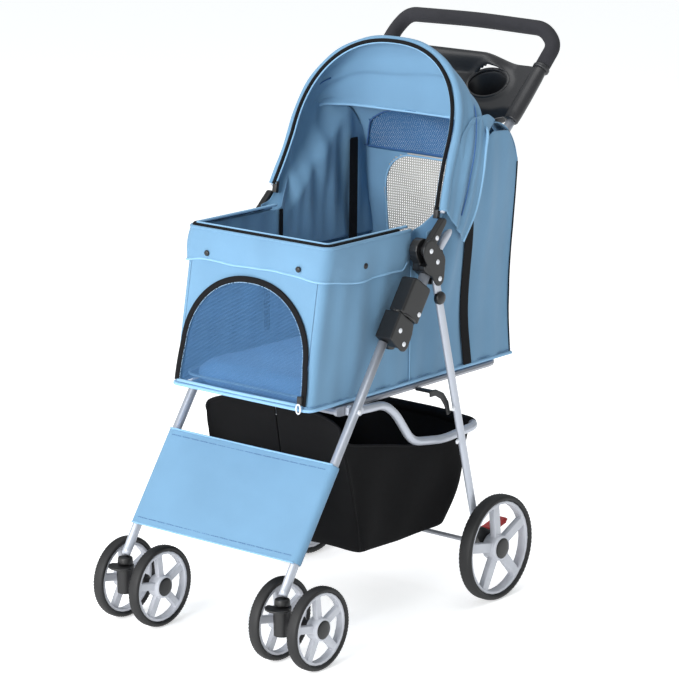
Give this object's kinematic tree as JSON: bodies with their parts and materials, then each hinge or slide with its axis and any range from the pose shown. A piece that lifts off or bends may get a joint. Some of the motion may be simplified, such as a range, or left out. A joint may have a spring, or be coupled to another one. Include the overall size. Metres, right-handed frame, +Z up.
{
  "type": "folding pet stroller",
  "caption": "Folding pet stroller: fabric cabin with hood and mesh door, twin front casters, push handle with cup tray, cloth basket.",
  "frame": {"origin": "centre of the bounding box on the ground, under the middle of the stroller", "axes": "+Z up, -Y to the front (door and casters), +Y to the push handle, +X to the stroller's left"},
  "size_m": [0.456, 0.7831, 0.9999],
  "materials": {
    "silver_tube": "satin silver powder coat",
    "grey_tube": "satin mid-grey powder coat",
    "black_plastic": "moulded, satin",
    "foam_grip": "closed-cell foam, matte",
    "blue_fabric": "woven polyester, light blue",
    "mesh_fabric": "open mesh, denim blue",
    "cushion_fabric": "quilted pad with piped edge",
    "black_fabric": "coated woven polyester",
    "tyre": "matte, diamond tread",
    "wheel_grey": "moulded, light grey",
    "brake_red": "moulded, red"
  },
  "bodies": {
    "front_frame": {"front_tube_left": "silver_tube", "front_tube_right": "silver_tube", "caster_socket_left": "black_plastic", "caster_socket_right": "black_plastic", "lock_base_left": "black_plastic", "lock_base_right": "black_plastic", "leg_panel": "blue_fabric"},
    "handle_frame": {"stub_tube_left": "silver_tube", "stub_tube_right": "silver_tube", "hinge_bracket_left": "black_plastic", "hinge_bracket_right": "black_plastic", "handle_tube_left": "silver_tube", "handle_tube_right": "silver_tube", "tray": "black_plastic", "grip": "foam_grip"},
    "canopy": {"canopy_hoop": "silver_tube", "canopy_arm_left": "black_plastic", "canopy_arm_right": "black_plastic", "hood": "blue_fabric"},
    "rear_frame": {"rear_leg_left": "grey_tube", "rear_leg_right": "grey_tube", "brake_housing_left": "black_plastic", "brake_housing_right": "black_plastic", "axle_rod": "grey_tube"},
    "basket_frame": {"basket_frame": "grey_tube", "basket": "black_fabric"},
    "seat_frame": {"seat_frame": "grey_tube", "curved_link_left": "black_plastic", "curved_link_right": "black_plastic", "cabin_floor": "blue_fabric", "cabin_side_left": "blue_fabric", "cabin_side_right": "blue_fabric", "cabin_front": "blue_fabric", "door_mesh": "mesh_fabric", "cabin_rear": "blue_fabric", "cushion": "cushion_fabric"},
    "lock_left": {"lock_sleeve_left": "black_plastic"},
    "caster_left": {"caster_fork_left": "black_plastic"},
    "front_wheel_left_outer": {"front_wheel_left_outer_tyre": "tyre", "front_wheel_left_outer_hub": "wheel_grey"},
    "front_wheel_left_inner": {"front_wheel_left_inner_tyre": "tyre", "front_wheel_left_inner_hub": "wheel_grey"},
    "rear_wheel_left": {"rear_wheel_left_tyre": "tyre", "rear_wheel_left_hub": "wheel_grey"},
    "brake_left": {"brake_pedal_left": "brake_red"},
    "lock_right": {"lock_sleeve_right": "black_plastic"},
    "caster_right": {"caster_fork_right": "black_plastic"},
    "front_wheel_right_outer": {"front_wheel_right_outer_tyre": "tyre", "front_wheel_right_outer_hub": "wheel_grey"},
    "front_wheel_right_inner": {"front_wheel_right_inner_tyre": "tyre", "front_wheel_right_inner_hub": "wheel_grey"},
    "rear_wheel_right": {"rear_wheel_right_tyre": "tyre", "rear_wheel_right_hub": "wheel_grey"},
    "brake_right": {"brake_pedal_right": "brake_red"}
  },
  "joints": [
    {"name": "frame_fold", "type": "hinge", "parent": "front_frame", "child": "handle_frame", "pos_m": [0, -0.075, 0.5035], "axis": [-1, 0, 0], "range_deg": [0, 118], "deforming": ["cabin_side_left", "cabin_side_right", "cabin_front", "door_mesh", "cabin_rear", "basket", "leg_panel"]},
    {"name": "rear_leg_fold", "type": "hinge", "parent": "handle_frame", "child": "rear_frame", "pos_m": [0, 0.0184, 0.601], "axis": [-1, 0, 0], "range_deg": [-75, 0]},
    {"name": "basket_fold", "type": "hinge", "parent": "front_frame", "child": "basket_frame", "pos_m": [0, -0.1741, 0.403], "axis": [-1, 0, 0], "range_deg": [0, 72]},
    {"name": "seat_fold", "type": "hinge", "parent": "front_frame", "child": "seat_frame", "pos_m": [0, -0.1741, 0.403], "axis": [-1, 0, 0], "range_deg": [0, 76]},
    {"name": "canopy_tilt", "type": "hinge", "parent": "handle_frame", "child": "canopy", "pos_m": [0, -0.0066, 0.652], "axis": [1, 0, 0], "range_deg": [0, 85], "deforming": ["hood"]},
    {"name": "lock_left_slide", "type": "slide", "parent": "handle_frame", "child": "lock_left", "axis": [0, 0.5621, 0.8271], "range_m": [0, 0.015], "stiffness_N_per_m": 150},
    {"name": "caster_left_swivel", "type": "hinge", "parent": "front_frame", "child": "caster_left", "pos_m": [0.175, -0.3596, 0.116], "axis": [0, 0, 1], "continuous": true},
    {"name": "front_wheel_left_outer_spin", "type": "hinge", "parent": "caster_left", "child": "front_wheel_left_outer", "pos_m": [0.216, -0.3171, 0.071], "axis": [1, 0, 0], "continuous": true},
    {"name": "front_wheel_left_inner_spin", "type": "hinge", "parent": "caster_left", "child": "front_wheel_left_inner", "pos_m": [0.134, -0.3171, 0.071], "axis": [1, 0, 0], "continuous": true},
    {"name": "rear_wheel_left_spin", "type": "hinge", "parent": "rear_frame", "child": "rear_wheel_left", "pos_m": [0.2117, 0.1784, 0.0945], "axis": [1, 0, 0], "continuous": true},
    {"name": "brake_left_press", "type": "hinge", "parent": "rear_frame", "child": "brake_left", "pos_m": [0.177, 0.1974, 0.115], "axis": [-1, 0, 0], "range_deg": [0, 18]},
    {"name": "lock_right_slide", "type": "slide", "parent": "handle_frame", "child": "lock_right", "axis": [0, 0.5621, 0.8271], "range_m": [0, 0.015], "stiffness_N_per_m": 150},
    {"name": "caster_right_swivel", "type": "hinge", "parent": "front_frame", "child": "caster_right", "pos_m": [-0.175, -0.3596, 0.116], "axis": [0, 0, 1], "continuous": true},
    {"name": "front_wheel_right_outer_spin", "type": "hinge", "parent": "caster_right", "child": "front_wheel_right_outer", "pos_m": [-0.216, -0.3171, 0.071], "axis": [1, 0, 0], "continuous": true},
    {"name": "front_wheel_right_inner_spin", "type": "hinge", "parent": "caster_right", "child": "front_wheel_right_inner", "pos_m": [-0.134, -0.3171, 0.071], "axis": [1, 0, 0], "continuous": true},
    {"name": "rear_wheel_right_spin", "type": "hinge", "parent": "rear_frame", "child": "rear_wheel_right", "pos_m": [-0.2117, 0.1784, 0.0945], "axis": [1, 0, 0], "continuous": true},
    {"name": "brake_right_press", "type": "hinge", "parent": "rear_frame", "child": "brake_right", "pos_m": [-0.177, 0.1974, 0.115], "axis": [-1, 0, 0], "range_deg": [0, 18]}
  ],
  "couplings": [
    {"joint": "rear_leg_fold", "follows": "frame_fold", "ratio": -0.63},
    {"joint": "basket_fold", "follows": "frame_fold", "ratio": 0.606},
    {"joint": "seat_fold", "follows": "frame_fold", "ratio": 0.64}
  ]
}
